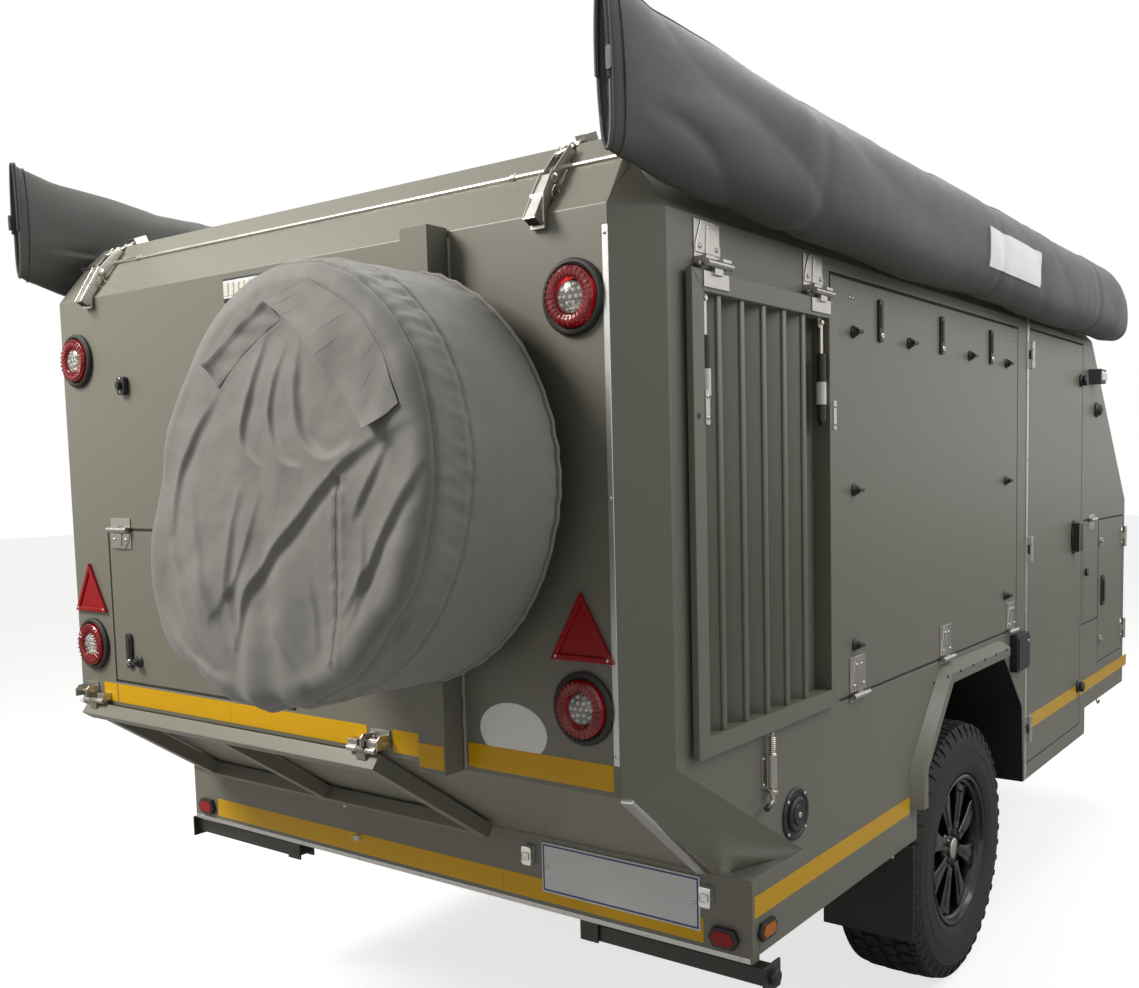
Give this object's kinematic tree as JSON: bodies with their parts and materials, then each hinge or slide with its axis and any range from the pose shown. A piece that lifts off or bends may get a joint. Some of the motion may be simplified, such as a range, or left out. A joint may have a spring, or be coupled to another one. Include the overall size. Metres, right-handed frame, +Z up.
{
  "type": "off-road caravan",
  "caption": "Off-road caravan with a faceted hard shell, lifting roof, side hatches, awning bags, covered spare wheel and a drawbar.",
  "frame": {"origin": "on the ground under the middle of the whole caravan's box", "axes": "+X to the caravan's right, +Y towards the coupler, +Z up"},
  "size_m": [2.244, 5.602, 2.416],
  "materials": {
    "body_paint": "satin grey-green powder coat",
    "black_paint": "satin black",
    "zinc": "zinc plated",
    "stainless": "stamped stainless",
    "tyre": "matt rubber",
    "alloy": "gloss black",
    "rubber": "matt",
    "liner": "textured",
    "lamp_red": "moulded lens",
    "plate": "gloss",
    "cover_cloth": "coated canvas",
    "bag_cloth": "coated cloth"
  },
  "bodies": {
    "body": {"roof_seal": "rubber", "front_wall": "body_paint", "rear_wall": "body_paint", "rear_bumper": "body_paint", "floor_panel": "body_paint", "right_wall": "body_paint", "left_wall": "body_paint", "wheel_boxes": "liner", "fender_flares": "body_paint", "trailing_arms": "black_paint", "springs": "black_paint", "chassis_rails": "black_paint", "cross_members": "black_paint", "drawbar": "black_paint", "coupler": "black_paint", "jockey_tube": "zinc", "fixed_hinges": "stainless", "steady_brackets": "black_paint", "spare_post": "body_paint", "spare_wheel": "tyre", "spare_cover": "cover_cloth", "tail_lamps": "lamp_red", "reflectors": "lamp_red", "number_plate": "plate", "work_lamp": "liner", "mud_flaps": "rubber"},
    "roof": {"roof_cap": "body_paint", "roof_bar": "stainless", "awning_bag_right": "bag_cloth", "awning_bag_left": "bag_cloth", "awning_brackets": "black_paint", "roof_vent": "liner"},
    "wheel_right": {"tyre_right": "tyre", "rim_right": "alloy"},
    "wheel_left": {"tyre_left": "tyre", "rim_left": "alloy"},
    "jockey_fork": {"jockey_fork": "zinc"},
    "jockey_wheel": {"jockey_wheel": "rubber"},
    "entry_door": {"entry_door": "body_paint", "door_fittings": "stainless"},
    "kitchen_hatch_right": {"kitchen_hatch_right": "body_paint", "kitchen_hinges_right": "stainless"},
    "kitchen_hatch_left": {"kitchen_hatch_left": "body_paint", "kitchen_hinges_left": "stainless"},
    "louvre_hatch_right": {"louvre_hatch_right": "body_paint", "louvre_hinges_right": "stainless"},
    "louvre_hatch_left": {"louvre_hatch_left": "body_paint", "louvre_hinges_left": "stainless"},
    "nose_hatch_right": {"nose_hatch_right": "body_paint", "nose_hinges_right": "stainless"},
    "nose_hatch_left": {"nose_hatch_left": "body_paint", "nose_hinges_left": "stainless"},
    "locker_hatch": {"locker_hatch": "body_paint", "locker_hinge": "stainless"},
    "rear_hatch": {"rear_hatch": "body_paint", "rear_hatch_hinges": "stainless"},
    "rear_rack": {"rear_rack": "body_paint"},
    "steady_right": {"steady_right": "black_paint"},
    "steady_left": {"steady_left": "black_paint"}
  },
  "joints": [
    {"name": "wheel_right_spin", "type": "hinge", "parent": "body", "child": "wheel_right", "pos_m": [0.9, -0.669, 0.395], "axis": [-1, 0, 0], "continuous": true},
    {"name": "wheel_left_spin", "type": "hinge", "parent": "body", "child": "wheel_left", "pos_m": [-0.9, -0.669, 0.395], "axis": [-1, 0, 0], "continuous": true},
    {"name": "jockey_swivel", "type": "hinge", "parent": "body", "child": "jockey_fork", "pos_m": [-0.228, 2.181, 0.3], "axis": [0, 0, 1], "continuous": true},
    {"name": "jockey_roll", "type": "hinge", "parent": "jockey_fork", "child": "jockey_wheel", "pos_m": [-0.228, 2.136, 0.11], "axis": [-1, 0, 0], "continuous": true},
    {"name": "roof_lift", "type": "slide", "parent": "body", "child": "roof", "axis": [0, 0, 1], "range_m": [0, 0.4]},
    {"name": "entry_door_hinge", "type": "hinge", "parent": "body", "child": "entry_door", "pos_m": [1.002, -0.0875, 1.29], "axis": [0, 0, -1], "range_deg": [0, 90]},
    {"name": "kitchen_hatch_right_hinge", "type": "hinge", "parent": "body", "child": "kitchen_hatch_right", "pos_m": [1.002, -0.917, 1.0315], "axis": [0, 1, 0], "range_deg": [0, 90]},
    {"name": "kitchen_hatch_left_hinge", "type": "hinge", "parent": "body", "child": "kitchen_hatch_left", "pos_m": [-1.002, -0.917, 1.0315], "axis": [0, -1, 0], "range_deg": [0, 90]},
    {"name": "louvre_hatch_right_hinge", "type": "hinge", "parent": "body", "child": "louvre_hatch_right", "pos_m": [1.02, -1.928, 1.972], "axis": [0, -1, 0], "range_deg": [0, 85]},
    {"name": "louvre_hatch_left_hinge", "type": "hinge", "parent": "body", "child": "louvre_hatch_left", "pos_m": [-1.02, -1.928, 1.972], "axis": [0, 1, 0], "range_deg": [0, 85]},
    {"name": "nose_hatch_right_hinge", "type": "hinge", "parent": "body", "child": "nose_hatch_right", "pos_m": [1.002, 1.3245, 1.04], "axis": [0, 0, 1], "range_deg": [0, 110]},
    {"name": "nose_hatch_left_hinge", "type": "hinge", "parent": "body", "child": "nose_hatch_left", "pos_m": [-1.002, 1.3245, 1.04], "axis": [0, 0, -1], "range_deg": [0, 110]},
    {"name": "locker_hatch_hinge", "type": "hinge", "parent": "body", "child": "locker_hatch", "pos_m": [1.002, 0.769, 1.3505], "axis": [0, -1, 0], "range_deg": [0, 100]},
    {"name": "rear_hatch_hinge", "type": "hinge", "parent": "body", "child": "rear_hatch", "pos_m": [-0.378, -2.381, 1.4585], "axis": [-1, 0, 0], "range_deg": [0, 165]},
    {"name": "rear_rack_hinge", "type": "hinge", "parent": "body", "child": "rear_rack", "pos_m": [-0.29, -2.393, 0.998], "axis": [-1, 0, 0], "range_deg": [0, 144]},
    {"name": "steady_right_pivot", "type": "hinge", "parent": "body", "child": "steady_right", "pos_m": [0.54, -1.967, 0.512], "axis": [0, 1, 0], "range_deg": [0, 88]},
    {"name": "steady_left_pivot", "type": "hinge", "parent": "body", "child": "steady_left", "pos_m": [-0.54, -1.967, 0.512], "axis": [0, -1, 0], "range_deg": [0, 88]}
  ]
}
